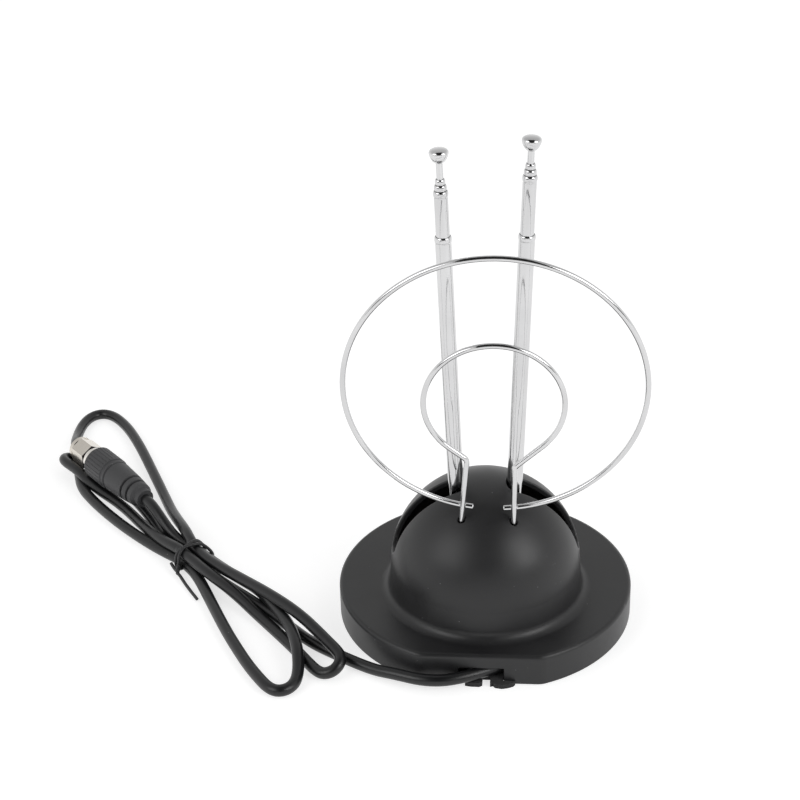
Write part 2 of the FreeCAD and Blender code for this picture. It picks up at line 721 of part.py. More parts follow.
def make_cable_clip():
    a = V(*lead_points[0])
    b = V(*lead_points[1])
    along = V(a.x - b.x, a.y - b.y, 0).normalize()
    middle = (a + b) * 0.5
    inner = cable_radius + clip_gap
    outer = inner + clip_wall
    axis = middle.z - ballast_top
    half = clip_width / 2
    # Local frame: X along the cable, Y towards the base's middle, Z up from the ballast plate
    saddle = rod(outer, V(-half, 0, axis), X_AXIS, clip_width)
    saddle = saddle.fuse(block((-half, 0, 0), (half, outer, axis)))
    foot = block((-half, inner, 0), (half, outer + clip_foot, clip_wall))
    clip = saddle.fuse(foot).common(block((-FAR, -FAR, 0), (FAR, FAR, FAR)))
    channel = rod(inner, V(-FAR, 0, axis), X_AXIS, FAR * 2)
    channel = channel.fuse(block((-FAR, -inner, -FAR), (FAR, inner, axis)))
    open_side = block((-FAR, -FAR, -FAR), (FAR, -inner * 0.6, axis))
    hole_y = outer + clip_foot / 2
    hole = Part.makeCylinder(screw_radius + screw_gap, FAR, V(0, hole_y, -1))
    clip = clip.cut(channel.fuse(open_side)).cut(hole)
    heading = FreeCAD.Rotation(Z_AXIS, math.degrees(math.atan2(along.y, along.x)))
    base = V(middle.x, middle.y, ballast_top)
    save("cable_clip", placed(clip.removeSplitter(), base, heading))
    head = Part.makeCylinder(screw_head_radius, screw_head_height, V(0, hole_y, clip_wall))
    shank = Part.makeCylinder(screw_radius, clip_wall, V(0, hole_y, 0))
    save("clip_screw", placed(head.fuse(shank).removeSplitter(), base, heading))


def hank_placement():
    return FreeCAD.Placement(V(tie_x, tie_y, 0), FreeCAD.Rotation(Z_AXIS, hank_heading))


def outline_face(steps, start):
    # Closed outline of straight steps (one point) and arcs (middle and end point)
    edges = []
    last = V(start[0], start[1], 0)
    for step in steps:
        end = V(step[-1][0], step[-1][1], 0)
        if len(step) == 2:
            edges.append(Part.Arc(last, V(step[0][0], step[0][1], 0), end).toShape())
        else:
            edges.append(Part.LineSegment(last, end).toShape())
        last = end
    edges.append(Part.LineSegment(last, V(start[0], start[1], 0)).toShape())
    return Part.Face(Part.Wire(edges))


lead_facet = ((-104.3, -11.9), (-105.9, -5.9))   # flat end of the hank where the lead joins it


def rounded_bar(length, width, low, high, rounding):
    bar = block((-length / 2, -width / 2, low), (length / 2, width / 2, high))
    along = [e for e in bar.Edges if abs(e.tangentAt(e.FirstParameter).x) > 0.99]
    return bar.makeFillet(rounding, along)


def make_hank():
    far_start = tie_along + lobe_start
    near_start = tie_along - lobe_start
    half = neck_width / 2
    far_lobe = outline_face((
        ((70.0, -26.5), (124.0, -41.5)),
        ((138.0, -31.0), (124.0, -12.5)),
        ((113.0, 3.5),),
        ((60.0, 15.0), (far_start, half)),
    ), (far_start, -half))
    near_lobe = outline_face((
        ((-52.0, -16.5), lead_facet[0]),
        (lead_facet[1],),
        ((-111.0, -4.6),),
        ((-113.8, 1.0), (-107.0, 8.5)),
        ((-106.6, 11.0),),
        ((-109.0, 20.0), (-101.0, 27.0)),
        ((-60.0, 21.5), (near_start, half)),
    ), (near_start, -half))
    thickness = V(0, 0, hank_thickness)
    neck = placed(rounded_bar(neck_length, neck_width, neck_low, neck_high, neck_round), V(tie_along, 0, 0))
    tail = ((0.0, 0.0, neck_high - cable_radius), (neck_length / 2, plug_offset / 3, neck_high - cable_radius),
            (plug_rear - plug_tail_run, plug_offset, plug_height), (plug_rear, plug_offset, plug_height))
    plug_tail = bent_wire(tail, cable_radius, cable_diameter * 3)
    hank = far_lobe.extrude(thickness).fuse([near_lobe.extrude(thickness), neck, plug_tail]).removeSplitter()
    hank.Placement = hank_placement()
    save("cable_hank", hank)

    band = rounded_bar(tie_band, neck_width + 2 * tie_thickness, neck_low - tie_thickness,
                       neck_high + tie_thickness, neck_round + tie_thickness)
    tie = band.cut(rounded_bar(tie_band + 2, neck_width, neck_low, neck_high, neck_round))
    tie = placed(tie, V(tie_along, 0, 0))
    side = V(tie_along, half, 0)
    knot = side + V(tie_knot[0], tie_knot[1] + tie_thickness, tie_knot[2])
    tie = tie.fuse(rod(tie_knot_radius, knot, side + V(*tie_tails[0][0]) - knot, tie_knot_length))
    for start, end in tie_tails:
        run = V(*end) - V(*start)
        strip = block((0, -tie_tail_width / 2, -tie_tail_thickness / 2),
                      (run.Length, tie_tail_width / 2, tie_tail_thickness / 2))
        tie = tie.fuse(placed(strip, side + V(*start), FreeCAD.Rotation(X_AXIS, run)))
    tie = tie.removeSplitter()
    tie.Placement = hank_placement()
    save("twist_tie", tie)


def make_lead():
    place = hank_placement()
    ends = [place.multVec(V(u, w, cable_radius + cable_rise)) for u, w in lead_facet]
    join = (ends[0] + ends[1]) * 0.5
    away = (ends[1] - ends[0]).cross(Z_AXIS).normalize()
    if away.x < 0:
        away = away * -1
    points = [V(*p) for p in lead_points]
    before = join + away * lead_last_run
    points += [before, join]
    edges, radii = rounded_edges(points)
    lead = swept(edges, cable_radius)
    length = sum(e.Length for e in edges)
    print("lead radii", [round(r, 1) for r in radii], "length %.1f" % length)
    print("lead volume %.1f against %.1f" % (lead.Volume, math.pi * cable_radius ** 2 * length))
    save("cable_lead", lead)


def plug_placement():
    turn = FreeCAD.Rotation(Y_AXIS, 90)
    local = FreeCAD.Placement(V(plug_rear, plug_offset, plug_height), turn)
    return hank_placement().multiply(local)


def boot_profile():
    grip_low = boot_length - grip_length
    notches = sorted(zip(boot_grooves, boot_groove_depths))
    points = [(0, 0), (boot_nipple_radius, 0), (boot_nipple_radius, boot_nipple - boot_nipple_slope),
              (boot_rear_radius, boot_nipple)]
    for low, depth in notches:
        radius = boot_taper(low)
        high = low + boot_groove_width
        points += [(radius, low), (radius - depth, low + boot_groove_slope),
                   (radius - depth, high - boot_groove_slope), (boot_taper(high), high)]
    points += [(boot_taper(grip_low), grip_low), (boot_radius, grip_low + grip_step),
               (boot_radius, boot_length - boot_edge), (boot_radius - boot_edge, boot_length), (0, boot_length)]
    return points


def boot_taper(height):
    grip_low = boot_length - grip_length
    share = (height - boot_nipple) / (grip_low - boot_nipple)
    return boot_rear_radius + (boot_body_radius - boot_rear_radius) * math.sin(share * math.pi / 2)


def make_plug():
    place = plug_placement()
    boot = turned(boot_profile())
    grip_low = boot_length - grip_length
    cutters = []
    for i in range(rib_count):
        angle = math.radians(360 * (i + 0.5) / rib_count)
        spot = V(boot_radius * math.cos(angle), boot_radius * math.sin(angle), grip_low + 2 * grip_step)
        cutters.append(Part.makeCylinder(rib_depth, grip_length, spot))
    boot = boot.cut(Part.makeCompound(cutters))
    neck_seat = Part.makeCylinder(ferrule_neck_radius, ferrule_insert, V(0, 0, boot_length - ferrule_insert))
    boot = boot.cut(neck_seat)
    save("plug_boot", shifted(boot, place))

    nut_low = boot_length + ferrule_length + plug_nut_gap
    web_top = nut_low + plug_nut_web
    retainer_low = web_top + plug_nut_gap
    neck_top = retainer_low + retainer_height
    ferrule = neck_seat.fuse(Part.makeCylinder(ferrule_radius, ferrule_length, V(0, 0, boot_length)))
    bearing = plug_core_radius + ferrule_wall
    ferrule = ferrule.fuse(Part.makeCylinder(bearing, neck_top - boot_length, V(0, 0, boot_length)))
    ferrule = ferrule.fuse(Part.makeCylinder(bearing + retainer_lip, retainer_height, V(0, 0, retainer_low)))
    ferrule = ferrule.cut(Part.makeCylinder(plug_core_radius, FAR, V(0, 0, boot_length - ferrule_insert)))
    save("plug_ferrule", shifted(ferrule.removeSplitter(), place))

    nut_top = nut_low + plug_nut_length
    collar_low = nut_top - plug_nut_collar
    corner = plug_nut_flats / math.sqrt(3)
    nut = hexagon(plug_nut_flats, nut_low, collar_low)
    bevel = turned(((0, nut_low), (corner - plug_nut_bevel, nut_low), (corner, nut_low + plug_nut_bevel),
                    (corner, collar_low - plug_nut_edge), (plug_nut_collar_radius, collar_low),
                    (0, collar_low)))
    collar = turned(((0, collar_low), (plug_nut_collar_radius, collar_low),
                     (plug_nut_collar_radius, nut_top - plug_nut_edge),
                     (plug_nut_collar_radius - plug_nut_edge, nut_top), (0, nut_top)))
    nut = nut.common(bevel).fuse(collar)
    nut = nut.cut(Part.makeCylinder(plug_thread_radius, FAR, V(0, 0, web_top)))
    nut = nut.cut(Part.makeCylinder(bearing + plug_nut_gap, FAR, V(0, 0, nut_low - 1)))
    save("plug_nut", shifted(nut.removeSplitter(), place))

    pin_low = boot_length - plug_pin_root
    core_low = boot_length - ferrule_insert
    core = Part.makeCylinder(plug_core_radius, neck_top - core_low, V(0, 0, core_low))
    pin = Part.makeCylinder(plug_pin_radius, nut_top + plug_pin_reach - pin_low, V(0, 0, pin_low))
    save("plug_core", shifted(core.cut(pin), place))
    save("plug_pin", shifted(pin, place))


def shifted(shape, place):
    moved = shape.copy()
    moved.Placement = place.multiply(moved.Placement)
    return moved


make_base_shell()
make_underside()
make_inner_frame()
make_loop_sockets()
make_loops()
for ear_side, ear_sign in SIDES.items():
    make_ear(ear_side, ear_sign)
    make_pivot_hardware(ear_side, ear_sign)
make_board()
make_hookup_wires()
make_cable_clip()
make_hank()
make_lead()
make_plug()
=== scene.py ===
import bpy
import math
from mathutils import Matrix, Vector


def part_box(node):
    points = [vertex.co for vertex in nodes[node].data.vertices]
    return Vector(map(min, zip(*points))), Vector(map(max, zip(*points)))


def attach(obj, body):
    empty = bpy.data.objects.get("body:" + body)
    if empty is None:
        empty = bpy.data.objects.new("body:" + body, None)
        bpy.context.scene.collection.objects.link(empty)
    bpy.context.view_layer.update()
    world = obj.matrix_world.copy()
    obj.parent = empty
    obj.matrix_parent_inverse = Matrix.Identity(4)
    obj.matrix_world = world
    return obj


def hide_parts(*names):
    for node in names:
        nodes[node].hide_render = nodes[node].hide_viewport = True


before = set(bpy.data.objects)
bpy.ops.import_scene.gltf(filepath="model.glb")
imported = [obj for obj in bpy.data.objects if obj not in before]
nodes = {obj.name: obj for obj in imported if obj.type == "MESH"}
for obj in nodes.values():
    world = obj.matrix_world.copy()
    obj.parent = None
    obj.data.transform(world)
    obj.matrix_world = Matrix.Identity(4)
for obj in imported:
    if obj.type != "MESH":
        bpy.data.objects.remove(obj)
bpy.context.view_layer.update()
scene = bpy.context.scene
mm = 0.001
mergeWithin = 0.002 * mm
print("frame loaded:", len(nodes), "nodes")


# Small helpers for modelling by operators

def clearSelection():
    if bpy.context.mode != "OBJECT":
        bpy.ops.object.mode_set(mode="OBJECT")
    bpy.ops.object.select_all(action="DESELECT")


def pick(piece):
    clearSelection()
    piece.select_set(True)
    bpy.context.view_layer.objects.active = piece


def settle(piece, place=None, smoothAngle=40):
    # place goes into the mesh, then soft shading
    pick(piece)
    if place is not None:
        piece.matrix_world = place
    bpy.ops.object.transform_apply(location=True, rotation=True, scale=True)
    bpy.ops.object.shade_smooth_by_angle(angle=math.radians(smoothAngle))
    return piece


def turnedPiece(name, rings, segments=64, closed=True):
    # a circle extruded ring by ring up its profile, in millimetres
    # a closed profile comes back to its first ring, an open one gets a flat cap at each end
    clearSelection()
    bpy.ops.mesh.primitive_circle_add(vertices=segments, radius=rings[0][0] * mm, location=(0, 0, 0))
    piece = bpy.context.object
    piece.name = name
    bpy.ops.object.mode_set(mode="EDIT")
    bpy.ops.mesh.select_all(action="SELECT")
    bpy.ops.transform.translate(value=(0, 0, rings[0][1] * mm))
    if not closed:
        bpy.ops.mesh.edge_face_add()
    for (r0, h0), (r1, h1) in zip(rings, rings[1:]):
        bpy.ops.mesh.extrude_region_move(TRANSFORM_OT_translate={"value": (0, 0, (h1 - h0) * mm)})
        bpy.ops.transform.resize(value=(r1 / r0, r1 / r0, 1), center_override=(0, 0, 0))
    bpy.ops.mesh.select_all(action="SELECT")
    bpy.ops.mesh.remove_doubles(threshold=mergeWithin)
    bpy.ops.mesh.normals_make_consistent(inside=False)
    bpy.ops.object.mode_set(mode="OBJECT")
    return piece


# Camera at the photographer's place
cameraPlan = {
    "place": (-0.02912, -0.65379, 0.46012),
    "right": (0.99972, -0.00646, -0.0227),
    "up": (0.02299, 0.48514, 0.87414),
    "back": (0.00537, -0.87441, 0.48515),
    "lens": 85.842,
    "sensor": 36,
}
cameraData = bpy.data.cameras.new("camera")
cameraData.lens = cameraPlan["lens"]
cameraData.sensor_width = cameraPlan["sensor"]
camera = bpy.data.objects.new("camera", cameraData)
scene.collection.objects.link(camera)
turn = Matrix((cameraPlan["right"], cameraPlan["up"], cameraPlan["back"])).transposed()
camera.matrix_world = Matrix.Translation(cameraPlan["place"]) @ turn.to_4x4()
scene.camera = camera
scene.view_settings.view_transform = "Standard"
print("camera placed")


# Coax cable: lead out of the notch, then a tied hank of uneven turns, then the plug
cablePlan = {
    "diameter": 4.8,
    "lead": [(27, -39, 6.45), (18, -43.6, 6.45), (6.5, -48.9, 4.6), (-14, -58.2, 4.7), (-26, -58.6, 4.8),
             (-38, -52.4, 4.0), (-46.5, -47.4, 2.45)],
    "tie": (-127, 37),
    "heading": 127.5,
    "intoTie": [(-99.5, -7.6, 2.45), (-86, -4.3, 2.45), (-72, -3.8, 2.45), (-58, -3.3, 2.45),
                (-44, -1.9, 2.45), (-32, -0.4, 2.45), (-22, 0.3, 2.45), (-11, 0.1, 2.5), (0, -0.4, 2.6)],
    "outToPlug": [(5.5, -4.2, 2.7), (11, -2.6, 3.4), (17, -1.7, 5.6), (24, -1.7, 9.2),
                  (31, -2, 12), (35, -2, 12.55), (39, -2, 12.55)],
    "steps": 36,   # points in each turn
    "smooth": 6,
    "sides": 7,
}
# each turn: its reach along the hank, and stops of share of the turn, place across and height
cableTurns = [
    {"reach": 102.8,
     "stops": [(0, -0.4, 2.6), (0.083, 1, 2.5), (0.111, 1.7, 2.45), (0.139, 1.1, 2.45),
               (0.167, -0.9, 2.45), (0.194, -2.8, 2.45), (0.222, -4.4, 2.45), (0.25, -5.6, 2.45),
               (0.278, -6.3, 2.45), (0.333, -6.6, 2.45), (0.389, -5.7, 2.45), (0.417, -5.1, 2.45),
               (0.444, -4.4, 2.6), (0.472, -2.4, 3.5), (0.5, 0.3, 4.8), (0.528, 2.9, 6.1), (0.556, 4.9, 7),
               (0.583, 5.4, 7.2), (0.611, 5.1, 7.2), (0.639, 4.8, 7.1), (0.653, 4.7, 6.4), (0.667, 4.5, 5),
               (0.681, 3.9, 3.9), (0.694, 3, 3.1), (0.722, 1.6, 2.45), (0.75, 1.4, 2.45), (0.778, 2, 2.6),
               (0.806, 3.1, 3.2), (0.833, 4.1, 4.2), (0.861, 4.8, 5.2), (0.889, 4.9, 6), (0.917, 4.6, 6.6),
               (0.944, 4.2, 7), (1, 3.8, 7.2)]},
    {"reach": -109,
     "stops": [(0, 3.8, 7.2), (0.108, 4.2, 7.3), (0.155, 4.3, 7.2), (0.204, 2.8, 6), (0.226, 2.2, 4.6),
               (0.247, 1.8, 3), (0.274, 1.9, 2.45), (0.301, 2.4, 2.45), (0.328, 2.9, 2.45),
               (0.355, 3.6, 2.45), (0.379, 4.4, 2.45), (0.417, 5, 2.45), (0.444, 4.6, 2.7),
               (0.472, 2.6, 3.6), (0.5, -0.1, 4.9), (0.528, -2.7, 6.2), (0.556, -4.6, 7.1),
               (0.583, -5.1, 7.7), (0.612, -5.1, 8.6), (0.644, -5.2, 9.8), (0.671, -5.2, 10.9),
               (0.687, -4.9, 11.4), (0.71, -4.2, 11.9), (0.731, -3.5, 11.8), (0.754, -3, 11.3),
               (0.776, -2.4, 10.6), (0.8, -1.9, 9.8), (0.824, -1.3, 9), (0.853, -0.9, 8.2),
               (0.89, -0.95, 7.5), (0.925, -1.4, 7.3), (1, -2.2, 7.4)]},
    {"reach": 134.3,
     "stops": [(0, -2.2, 7.4), (0.056, -3.8, 7.8), (0.083, -5.3, 7.8), (0.111, -7.2, 7),
               (0.139, -9.7, 5.4), (0.167, -12.8, 3.6), (0.194, -16.5, 2.6), (0.222, -20.3, 2.45),
               (0.278, -27.9, 2.45), (0.306, -31.5, 2.45), (0.333, -34.4, 2.45), (0.361, -36.7, 2.45),
               (0.389, -37.9, 2.45), (0.417, -38.1, 2.45), (0.444, -37.1, 2.45), (0.472, -34.7, 2.45),
               (0.5, -31.2, 2.45), (0.528, -27, 2.45), (0.556, -22.3, 2.45), (0.583, -17.4, 2.45),
               (0.611, -12.3, 3.4), (0.639, -7.4, 6.8), (0.653, -5, 8.1), (0.667, -2.5, 8),
               (0.681, -0.1, 5.1), (0.694, 2.5, 2.8), (0.708, 5.4, 2.45), (0.722, 7.7, 2.45),
               (0.75, 9.2, 2.45), (0.778, 9.8, 2.45), (0.806, 9.8, 2.45), (0.833, 9.4, 2.45),
               (0.861, 8.6, 2.45), (0.889, 7.6, 2.45), (0.917, 6.5, 2.45), (0.944, 5.5, 2.5),
               (1, 4.6, 2.6)]},
    {"reach": -104.9,
     "stops": [(0, 4.6, 2.6), (0.077, 4.5, 2.5), (0.112, 4.9, 2.45), (0.14, 6.3, 2.45), (0.167, 8.4, 2.45),
               (0.204, 11.8, 2.45), (0.245, 15.9, 2.45), (0.286, 19.7, 2.45), (0.332, 23, 2.45),
               (0.36, 24.4, 2.45), (0.389, 25.3, 2.45), (0.417, 25.8, 2.45), (0.444, 25.3, 2.45),
               (0.472, 23.4, 2.45), (0.5, 20.3, 2.5), (0.528, 16.9, 2.7), (0.556, 13.6, 3.3),
               (0.583, 10.3, 4.6), (0.611, 6.8, 6.5), (0.63, 4.5, 7.3), (0.654, 1.6, 7.4),
               (0.677, -0.8, 7.4), (0.698, -2.3, 7.3), (0.717, -3.2, 7.2), (0.741, -4.7, 6.8),
               (0.764, -6.4, 5.7), (0.788, -7.3, 4.2), (0.814, -7.2, 3), (0.849, -6.4, 2.5),
               (0.9, -5.4, 2.6), (1, -5, 2.8)]},
]
hankTurn = Matrix.Rotation(math.radians(cablePlan["heading"]), 3, "Z")
hankAxis = hankTurn @ Vector((1, 0, 0))
tieSpot = Vector((*cablePlan["tie"], 0))


def hankSpot(along, across, height):
    return (tieSpot + hankTurn @ Vector((along, across, height))) * mm


def between(stops, share):
    for (s0, across0, height0), (s1, across1, height1) in zip(stops, stops[1:]):
        if s0 <= share <= s1:
            part = (share - s0) / (s1 - s0)
            return across0 + (across1 - across0) * part, height0 + (height1 - height0) * part
    return stops[-1][1:]


def turnSpots(plan, steps):
    spots = []
    for step in range(1, steps + 1):
        share = step / steps
        along = plan["reach"] * (1 - math.cos(2 * math.pi * share)) / 2   # close together at the fold
        spots.append(hankSpot(along, *between(plan["stops"], share)))
    return spots


route = [Vector(spot) * mm for spot in cablePlan["lead"]]
route += [hankSpot(*spot) for spot in cablePlan["intoTie"]]
for plan in cableTurns:
    route += turnSpots(plan, cablePlan["steps"])
route += [hankSpot(*spot) for spot in cablePlan["outToPlug"]]

cableCurve = bpy.data.curves.new("coaxCable", "CURVE")
cableCurve.dimensions = "3D"
spline = cableCurve.splines.new("NURBS")
spline.points.add(len(route) - 1)
for point, spot in zip(spline.points, route):
    point.co = (*spot, 1)
    point.radius = cablePlan["diameter"] / 2 * mm   # times a bevel of 1, so that the piece's box is true
spline.order_u = 3
spline.use_endpoint_u = True
spline.resolution_u = cablePlan["smooth"]
cableCurve.resolution_u = cablePlan["smooth"]
cableCurve.bevel_depth = 1.0
cableCurve.bevel_resolution = cablePlan["sides"]
cableCurve.use_fill_caps = True
coaxCable = bpy.data.objects.new("coaxCable", cableCurve)
scene.collection.objects.link(coaxCable)
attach(coaxCable, "base")
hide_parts("cable_lead", "cable_hank")


def curveLength(piece):
    line = piece.data.copy()
    line.bevel_depth = 0
    probe = bpy.data.objects.new("probe", line)
    scene.collection.objects.link(probe)
    bpy.context.view_layer.update()
    mesh = bpy.data.meshes.new_from_object(probe)
    total = 0.0
    for edge in mesh.edges:
        start, end = edge.vertices
        total += (mesh.vertices[start].co - mesh.vertices[end].co).length
    bpy.data.objects.remove(probe)
    bpy.data.meshes.remove(mesh)
    bpy.data.curves.remove(line)
    return total


print("cable laid, centreline", round(curveLength(coaxCable), 4))


# Twist tie: two thin turns that cross, a twisted knot and two tails
tiePlan = {
    "wire": 0.7,
    "smooth": 6,
    "sides": 4,
    "hull": [(-8.2, 2.2), (-7.8, 4.7), (-4.4, 9.4), (-1.8, 10.6), (4.2, 10.5), (7.1, 9.0),
             (8.2, 5.0), (8.1, 1.7), (6.5, 0.75), (0.5, 0.75), (-5.8, 0.75), (-7.8, 0.9)],
    "hullHalf": 8,
    "turns": [(-5.4, 2.0), (-3.4, -2.2)],      # place along the hank, lean over half the hull
    "twist": (-6.0, 8.2, 3.6),
    "twistStep": (-0.26, 0.3, -0.16),
    "twistSteps": 9,
    "twistAngle": math.pi / 2.2,
    "longTail": [(-9.5, 10.4, 1.9), (-18, 12.2, 1.2), (-28.8, 13.8, 1.0)],
    "shortTail": [(-7.0, 10.2, 2.2), (-4.4, 10.0, 2.6), (-1.6, 9.4, 3.0)],
}


def tieWire(name, spots, cyclic=False):
    # a smooth thin wire, made a mesh
    line = bpy.data.curves.new(name, "CURVE")
    line.dimensions = "3D"
    bend = line.splines.new("NURBS")
    bend.points.add(len(spots) - 1)
    for point, spot in zip(bend.points, spots):
        point.co = (*spot, 1)
    bend.order_u = 3
    bend.use_cyclic_u = cyclic
    bend.use_endpoint_u = not cyclic
    bend.resolution_u = tiePlan["smooth"]
    line.bevel_depth = tiePlan["wire"] * mm
    line.bevel_resolution = tiePlan["sides"]
    line.use_fill_caps = True
    piece = bpy.data.objects.new(name, line)
    scene.collection.objects.link(piece)
    pick(piece)
    bpy.ops.object.convert(target="MESH")
    return bpy.context.object


tieRings = []
for number, (start, slope) in enumerate(tiePlan["turns"]):
    spots = []
    for across, height in tiePlan["hull"]:
        spots.append(hankSpot(start + slope * across / tiePlan["hullHalf"], across, height))
    tieRings.append(tieWire("tieTurn%d" % number, spots, cyclic=True))
twistSpots = ([], [])
for step in range(tiePlan["twistSteps"]):
    along, across, height = [a + b * step for a, b in zip(tiePlan["twist"], tiePlan["twistStep"])]
    for strand in (0, 1):
        angle = step * tiePlan["twistAngle"] + strand * math.pi
        twistSpots[strand].append(hankSpot(along + tiePlan["wire"] * math.cos(angle), across,
                                           height + tiePlan["wire"] * math.sin(angle)))
longTail = tieWire("tieLongTail", twistSpots[0] + [hankSpot(*spot) for spot in tiePlan["longTail"]])
shortTail = tieWire("tieShortTail", twistSpots[1] + [hankSpot(*spot) for spot in tiePlan["shortTail"]])
clearSelection()
for piece in tieRings + [longTail, shortTail]:
    piece.select_set(True)
bpy.context.view_layer.objects.active = tieRings[0]
bpy.ops.object.join()
twistTie = bpy.context.object
twistTie.name = "twistTie"
settle(twistTie, smoothAngle=60)
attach(twistTie, "base")
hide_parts("twist_tie")
print("twist tie bent")


# Telescopic ears: drawn tubes with rolled lips, a solid tip rod and a button cap
earPlan = {
    "pivot": (10.4, -6, 24),
    "lean": 2.05,
    "diameters": (6.2, 5.3, 4.4, 3.5, 2.6),
    "wall": 0.35,
    "lowEnd": 6.0,
    "firstTop": 146.0,
    "lip": 2.2,
    "lipGap": 0.1,
    "lengths": (132.0, 128.0, 124.0, 122.0),
    "drawn": {"left": 16.0, "right": 21.3},
    "tipDrawn": {"left": 6.3, "right": 5.0},
    "capSocket": 3.5,
    "tubeBreak": (0.08, 0.1),   # broken edge of a tube's low end, in and up
    "rodBreak": 0.2,
    "holdRing": 0.6,            # keeps the shading of the long walls straight
    "segments": 56,
    # out from the tube's wall and up from its top
    "lipProfile": [(0.0, -2.3), (0.1, -2.18), (0.17, -1.9), (0.2, -1.5), (0.2, -1.05), (0.15, -0.65),
                   (0.03, -0.3), (-0.12, -0.08), (-0.28, 0.0), (-0.35, -0.1)],
    # radius and height, from the rod up
    "capProfile": [(1.4, 0.06), (1.62, 0.0), (1.8, 0.12), (2.2, 0.45), (2.62, 0.95), (3.0, 1.55),
                   (3.32, 2.25), (3.55, 2.95), (3.68, 3.55), (3.7, 3.9), (3.64, 4.25), (3.48, 4.55),
                   (3.22, 4.82), (2.85, 5.05), (2.3, 5.24), (1.6, 5.38), (0.9, 5.46), (0.3, 5.5)],
}
holdRing = earPlan["holdRing"]


def tubeRings(outer, low, top):
    radius = outer / 2
    bore = radius - earPlan["wall"]
    breakIn, breakUp = earPlan["tubeBreak"]
    lipLow = top + earPlan["lipProfile"][0][1]
    rings = [(bore, low), (radius - breakIn, low), (radius, low + breakUp), (radius, low + holdRing),
             (radius, lipLow - holdRing)]
    rings += [(radius + out, top + up) for out, up in earPlan["lipProfile"]]
    return rings + [(bore, top - holdRing), (bore, low + holdRing), (bore, low)]


for side, sign in (("left", -1), ("right", 1)):
    x, y, z = earPlan["pivot"]
    place = Matrix.Translation(Vector((sign * x, y, z)) * mm)
    place = place @ Matrix.Rotation(math.radians(sign * earPlan["lean"]), 4, "Y")
    tops = [earPlan["firstTop"], earPlan["firstTop"] + earPlan["lip"] + earPlan["drawn"][side]]
    tops += [tops[1] + earPlan["lip"] + earPlan["lipGap"], tops[1] + 2 * (earPlan["lip"] + earPlan["lipGap"])]
    lows = [earPlan["lowEnd"]] + [top - length for top, length in zip(tops[1:], earPlan["lengths"])]
    capLow = tops[-1] + earPlan["tipDrawn"][side]
    for number, (outer, low, top) in enumerate(zip(earPlan["diameters"], lows, tops), 1):
        tube = turnedPiece("%sTube%d" % (side, number), tubeRings(outer, low, top), earPlan["segments"])
        settle(tube, place)
        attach(tube, side + ("_ear" if number == 1 else "_rod_%d" % number))
        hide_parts("%s_rod_section_%d" % (side, number))
    rodRadius = earPlan["diameters"][-1] / 2
    rodLow = capLow - earPlan["lengths"][-1]
    rodTop = capLow + earPlan["capSocket"]
    rings = [(rodRadius - earPlan["rodBreak"], rodLow), (rodRadius, rodLow + earPlan["rodBreak"]),
             (rodRadius, rodLow + holdRing), (rodRadius, rodTop - holdRing), (rodRadius, rodTop)]
    tipRod = settle(turnedPiece(side + "TipRod", rings, earPlan["segments"], closed=False), place)
    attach(tipRod, side + "_rod_5")
    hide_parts(side + "_rod_section_5")
    rings = [(radius, capLow + height) for radius, height in earPlan["capProfile"]]
    tipCap = turnedPiece(side + "TipCap", rings, earPlan["segments"], closed=False)
    settle(tipCap, place, smoothAngle=50)
    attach(tipCap, side + "_rod_5")
    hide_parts(side + "_rod_tip")
print("ears turned")


# Outer wire: its two cut ends are rounded over, each on the wire's own end face
endPlan = {
    "profile": [(1.1, 0.0), (1.08, 0.14), (1.0, 0.3), (0.86, 0.42), (0.66, 0.5), (0.3, 0.54)],
    "nearFoot": 6.0,    # the ends lie this close to the loop's lowest point
    "facing": 0.95,     # and look sideways
    "segments": 32,
}
endFaces = {"left": [], "right": []}
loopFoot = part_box("outer_loop")[0][2] + endPlan["nearFoot"] * mm
for face in nodes["outer_loop"].data.polygons:
    if abs(face.normal.x) > endPlan["facing"] and face.center.z < loopFoot:
        endFaces["left" if face.center.x < 0 else "right"].append(face)
for side, faces in endFaces.items():
    total = sum(face.area for face in faces)
    centre = sum((face.center * face.area for face in faces), Vector()) / total
    place = Matrix.Translation(centre) @ faces[0].normal.to_track_quat("Z", "Y").to_matrix().to_4x4()
    wireEnd = turnedPiece(side + "WireEnd", endPlan["profile"], endPlan["segments"], closed=False)
    settle(wireEnd, place, smoothAngle=50)
    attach(wireEnd, "base")
print("wire ends rounded")


# Shared effects as node groups

def newGroup(name, inputs, outputs):
    group = bpy.data.node_groups.new(name, "ShaderNodeTree")
    for label, kind, value in inputs:
        socket = group.interface.new_socket(name=label, in_out="INPUT", socket_type=kind)
        socket.default_value = value
    for label, kind in outputs:
        group.interface.new_socket(name=label, in_out="OUTPUT", socket_type=kind)
    return group, group.nodes.new("NodeGroupInput"), group.nodes.new("NodeGroupOutput")


def addMath(tree, operation, first, second, clamp=False):
    node = tree.nodes.new("ShaderNodeMath")
    node.operation = operation
    node.use_clamp = clamp
    for socket, value in zip(node.inputs, (first, second)):
        if isinstance(value, (int, float)):
            socket.default_value = value
        else:
            tree.links.new(value, socket)
    return node.outputs[0]


def addNoise(tree, vector, scale, detail=3.0, roughness=0.55):
    node = tree.nodes.new("ShaderNodeTexNoise")
    node.inputs["Detail"].default_value = detail
    node.inputs["Roughness"].default_value = roughness
    tree.links.new(vector, node.inputs["Vector"])
    if isinstance(scale, (int, float)):
        node.inputs["Scale"].default_value = scale
    else:
        tree.links.new(scale, node.inputs["Scale"])
    return node.outputs["Fac"]


